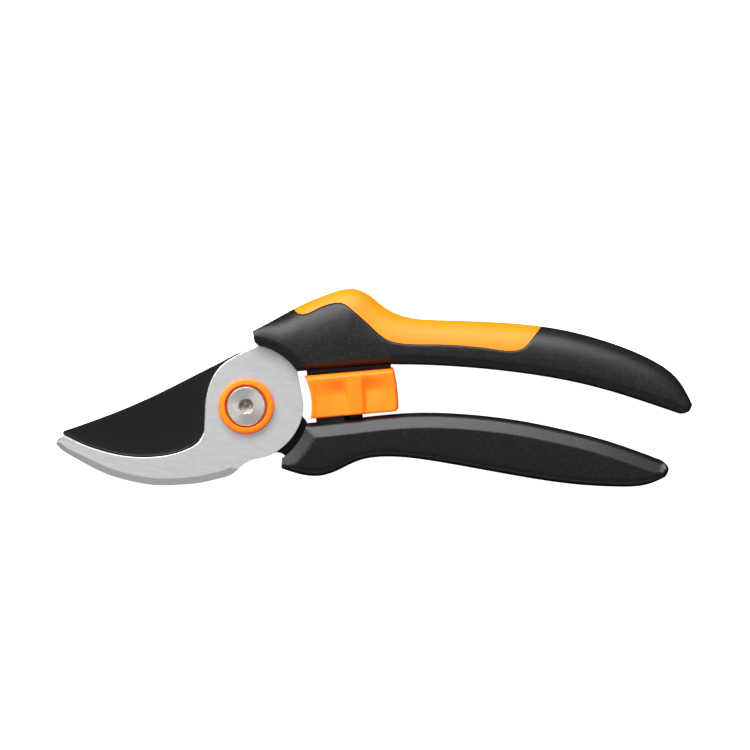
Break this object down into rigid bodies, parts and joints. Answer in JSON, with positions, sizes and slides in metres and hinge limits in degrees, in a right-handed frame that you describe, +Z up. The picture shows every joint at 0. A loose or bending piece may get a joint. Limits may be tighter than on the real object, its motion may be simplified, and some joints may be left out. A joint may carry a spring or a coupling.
{
  "type": "bypass pruner",
  "caption": "Bypass pruner: hooked counter blade and curved cutting blade on a bolted pivot, two moulded handles with a soft grip, return spring and sliding thumb lock.",
  "frame": {"origin": "pivot axis at the plane that the pruner rests on, on the plain end of the pivot bolt", "axes": "+X from the pivot towards the handles' tails, +Y towards the upper handle, +Z up out of the front face; the pruner lies on its back, closed and locked"},
  "size_m": [0.2184, 0.068, 0.018],
  "materials": {
    "hook_steel": "fine brushed, satin",
    "coated_steel": "black low-friction coating, satin",
    "stainless": "turned stainless steel",
    "orange_plastic": "moulded plastic, soft sheen",
    "bushing_steel": "ground steel",
    "washer_steel": "plated steel",
    "handle_plastic": "fine spark-eroded texture",
    "lower_plastic": "fine spark-eroded texture",
    "rail_plastic": "smooth",
    "soft_grip": "soft moulding, satin",
    "spring_steel": "oil-blacked spring wire"
  },
  "bodies": {
    "upper": {"hook_blade": "hook_steel", "pivot_bolt": "stainless", "front_collar": "orange_plastic", "pivot_bushing": "bushing_steel", "rear_collar": "washer_steel", "spring_washer": "washer_steel", "pivot_nut": "stainless", "upper_handle": "handle_plastic", "upper_soft_grip": "soft_grip", "upper_tang_screws": "stainless", "slide_rail": "rail_plastic", "upper_spring_seat": "rail_plastic"},
    "lower": {"cutting_blade": "coated_steel", "lower_handle": "lower_plastic", "lower_tang_screws": "stainless", "lock_catch": "rail_plastic", "lower_spring_seat": "rail_plastic", "return_spring": "spring_steel"},
    "lock": {"lock_slide": "orange_plastic", "lock_detent_spring": "bushing_steel"}
  },
  "joints": [
    {"name": "pivot", "type": "hinge", "parent": "upper", "child": "lower", "pos_m": [0, 0, 0], "axis": [0, 0, 1], "range_deg": [-30, 0], "deforming": ["return_spring"]},
    {"name": "lock_travel", "type": "slide", "parent": "upper", "child": "lock", "axis": [0.9971, 0.0767, 0], "range_m": [0, 0.006]}
  ]
}
